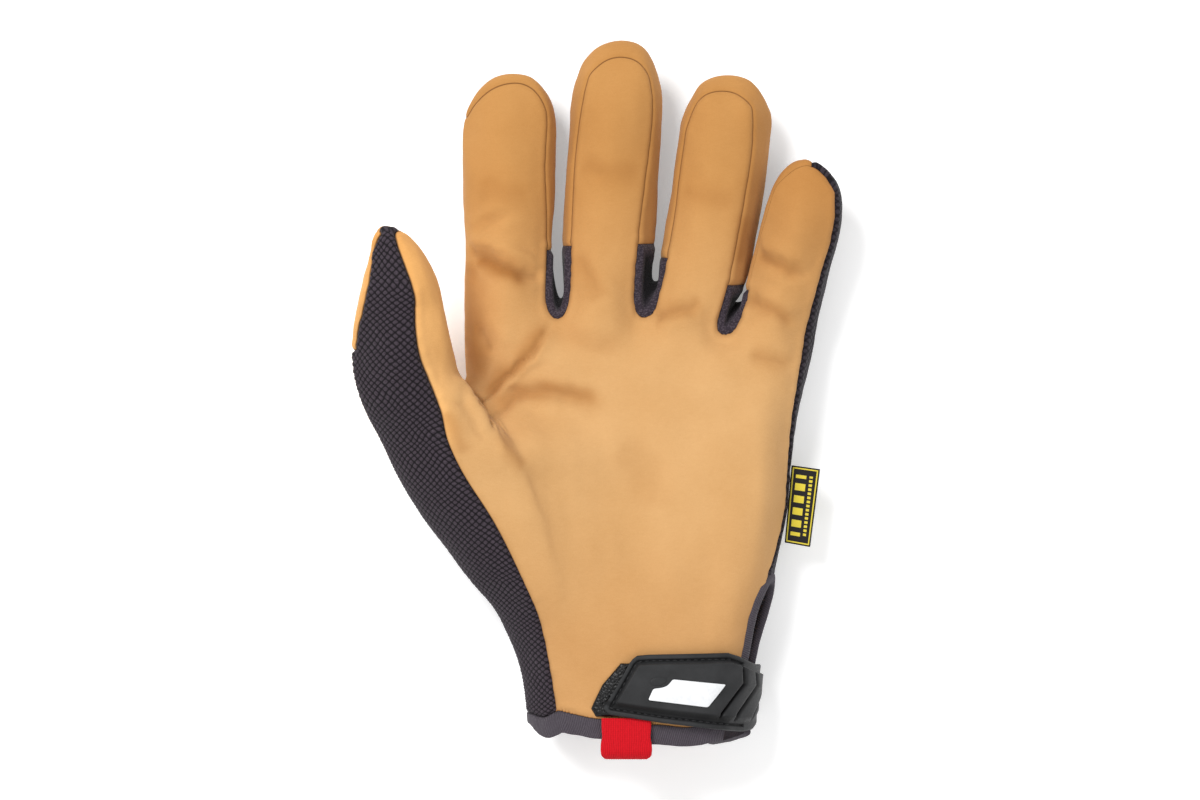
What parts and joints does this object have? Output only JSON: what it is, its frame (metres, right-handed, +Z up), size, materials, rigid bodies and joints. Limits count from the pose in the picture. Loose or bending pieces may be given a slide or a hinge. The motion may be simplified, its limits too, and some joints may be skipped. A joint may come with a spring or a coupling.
{
  "type": "mechanic glove",
  "caption": "Left-hand work glove with a tan leather palm, dark knit back, stretch finger webs, bound cuff and a moulded rubber wrist strap, lying on its back.",
  "frame": {"origin": "on the floor, under the middle of the glove's length and width as it lies on its back", "axes": "+X to the little finger's side, +Y to the fingertips, +Z up out of the palm"},
  "size_m": [0.1706, 0.2508, 0.067],
  "materials": {
    "palm_leather": "soft brushed synthetic leather, fine nap",
    "side_leather": "soft brushed synthetic leather, fine nap",
    "back_knit": "chunky matt knit",
    "thumb_knit": "chunky matt knit",
    "stretch_web": "smooth stretch knit",
    "binding_tape": "fine ribbed tape",
    "strap_rubber": "satin moulded rubber",
    "hook_tape": "hook tape",
    "white_patch": "flat white",
    "red_webbing": "ribbed webbing",
    "label_weave": "woven label with a yellow frame"
  },
  "bodies": {
    "root": {"palm_panel": "palm_leather", "hand_back_panel": "back_knit", "thumb_back_panel": "thumb_knit", "index_side_strip": "side_leather", "middle_side_strip": "side_leather", "ring_side_strip": "side_leather", "little_side_strip": "side_leather", "index_middle_gusset": "stretch_web", "middle_ring_gusset": "stretch_web", "ring_little_gusset": "stretch_web", "cuff_binding": "binding_tape", "vent_binding": "binding_tape", "closure_strap": "strap_rubber", "hook_tape": "hook_tape", "id_patch": "white_patch", "pull_tab": "red_webbing", "side_label": "label_weave"}
  },
  "joints": []
}
